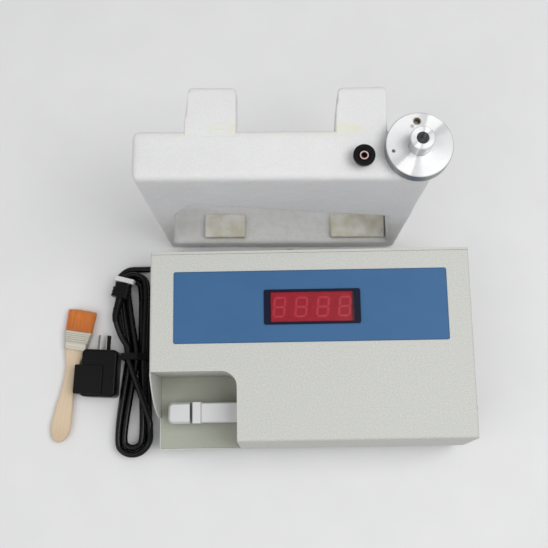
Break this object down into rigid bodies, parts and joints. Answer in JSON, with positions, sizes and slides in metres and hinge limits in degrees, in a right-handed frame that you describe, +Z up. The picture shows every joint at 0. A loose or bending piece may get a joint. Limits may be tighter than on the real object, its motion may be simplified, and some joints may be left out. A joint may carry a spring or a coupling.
{
  "type": "tablet hardness tester",
  "caption": "Bench tester with a fixed jaw and a screw-driven plunger in a corner recess, a red digit display, and its foam end cap, hand wheel, knob, brush, adapter and tied mains lead.",
  "frame": {"origin": "centre of the tester's footprint on the bench, under its feet", "axes": "+X to the tester's right, along the drive axis and out of the wheel shaft; +Y to its back; +Z up"},
  "size_m": [0.4439, 0.3076, 0.282],
  "materials": {
    "textured_cream": "fine orange-peel cream powder coat",
    "zinc_sheet": "zinc-plated sheet",
    "black_rubber": "matt black rubber",
    "plated_steel": "plated steel",
    "blue_label": "fine-grained blue overlay",
    "navy_bezel": "dark moulded plastic",
    "red_filter": "transparent red acrylic",
    "digit_module": "grey display faces",
    "circuit_board": "green laminate",
    "jaw_steel": "satin plated steel",
    "aluminium": "turned or milled aluminium",
    "brass": "brass",
    "ground_steel": "ground and polished steel",
    "black_plastic": "black moulded plastic",
    "chip_black": "black resin",
    "terminal_green": "green plastic",
    "core_steel": "varnished laminations",
    "winding_tape": "yellow winding tape",
    "foam": "white expanded polyethylene foam",
    "foam_tan": "foam yellowed by glue",
    "bristle": "orange bristles",
    "tinplate": "tinplate",
    "pale_wood": "bare pale wood",
    "cord_black": "black cord sheath",
    "plug_black": "black moulded plug",
    "nickel": "nickel plate",
    "guard_white": "white plastic"
  },
  "bodies": {
    "tester": {"base_tray": "zinc_sheet", "rubber_feet": "black_rubber", "recess_supports": "zinc_sheet", "recess_liner": "textured_cream", "top_cover": "textured_cream", "back_panel": "textured_cream", "cover_screws": "plated_steel", "front_label": "blue_label", "display_bezel": "navy_bezel", "display_filter": "red_filter", "display_digits": "digit_module", "display_board": "circuit_board", "display_spacers": "plated_steel", "fixed_jaw": "jaw_steel", "jaw_screws": "plated_steel", "load_cell": "aluminium", "load_cell_block": "aluminium", "guide_rods": "ground_steel", "guide_block": "aluminium", "bearing_block": "aluminium", "bearing_outer_rings": "ground_steel", "side_bush": "brass", "main_board": "circuit_board", "board_spacers": "plated_steel", "heat_sink": "aluminium", "board_parts": "chip_black", "terminal_block": "terminal_green", "transformer_core": "core_steel", "transformer_winding": "winding_tape", "switch_housing": "black_plastic", "fuse_holder": "black_plastic", "cord_gland": "black_plastic", "cord_lead": "cord_black", "cord_hank": "cord_black", "cord_tail": "cord_black", "cord_tie": "black_plastic", "plug_body": "plug_black", "plug_pins": "nickel"},
    "lead_screw": {"lead_screw": "ground_steel", "thrust_collars": "plated_steel", "bearing_inner_rings": "ground_steel"},
    "plunger": {"plunger_pad": "jaw_steel", "plunger_bar": "jaw_steel", "carriage": "aluminium", "carriage_bushes": "brass", "drive_nut": "brass"},
    "power_rocker": {"switch_rocker": "black_plastic"},
    "fuse_cap": {"fuse_cap": "black_plastic"},
    "foam_cap": {"foam_frame": "foam", "foam_bars": "foam", "foam_pads": "foam_tan"},
    "hand_wheel": {"hand_wheel": "aluminium"},
    "crank_knob": {"crank_knob": "black_plastic", "knob_insert": "brass"},
    "brush": {"brush_bristles": "bristle", "brush_ferrule": "tinplate", "brush_handle": "pale_wood"},
    "travel_adapter": {"adapter_body": "black_plastic", "adapter_blades": "nickel"},
    "pin_guard": {"plug_pin_guard": "guard_white"}
  },
  "joints": [
    {"name": "screw_turn", "type": "hinge", "parent": "tester", "child": "lead_screw", "pos_m": [0.1, -0.0588, 0.055], "axis": [1, 0, 0], "range_deg": [-360, 6660]},
    {"name": "plunger_slide", "type": "slide", "parent": "tester", "child": "plunger", "axis": [1, 0, 0], "range_m": [-0.002, 0.037]},
    {"name": "power_rocker_tilt", "type": "hinge", "parent": "tester", "child": "power_rocker", "pos_m": [-0.055, 0.095, 0.066], "axis": [-1, 0, 0], "range_deg": [0, 12]},
    {"name": "fuse_cap_turn", "type": "hinge", "parent": "tester", "child": "fuse_cap", "pos_m": [-0.018, 0.1, 0.066], "axis": [0, 1, 0], "range_deg": [0, 90]},
    {"name": "foam_cap_lift", "type": "slide", "parent": "tester", "child": "foam_cap", "axis": [0, 0, 1], "range_m": [0, 0.2]},
    {"name": "hand_wheel_lift", "type": "slide", "parent": "foam_cap", "child": "hand_wheel", "axis": [0, 0, 1], "range_m": [0, 0.1]},
    {"name": "crank_knob_lift", "type": "slide", "parent": "foam_cap", "child": "crank_knob", "axis": [0, 0, 1], "range_m": [0, 0.1]},
    {"name": "brush_lift", "type": "slide", "parent": "tester", "child": "brush", "axis": [0, 0, 1], "range_m": [0, 0.1]},
    {"name": "travel_adapter_lift", "type": "slide", "parent": "tester", "child": "travel_adapter", "axis": [0, 0, 1], "range_m": [0, 0.1]},
    {"name": "pin_guard_pull", "type": "slide", "parent": "tester", "child": "pin_guard", "axis": [0.2504, 0.9681, 0], "range_m": [0, 0.02]}
  ],
  "couplings": [
    {"joint": "screw_turn", "follows": "plunger_slide", "rad_per_m": 3141.6}
  ]
}
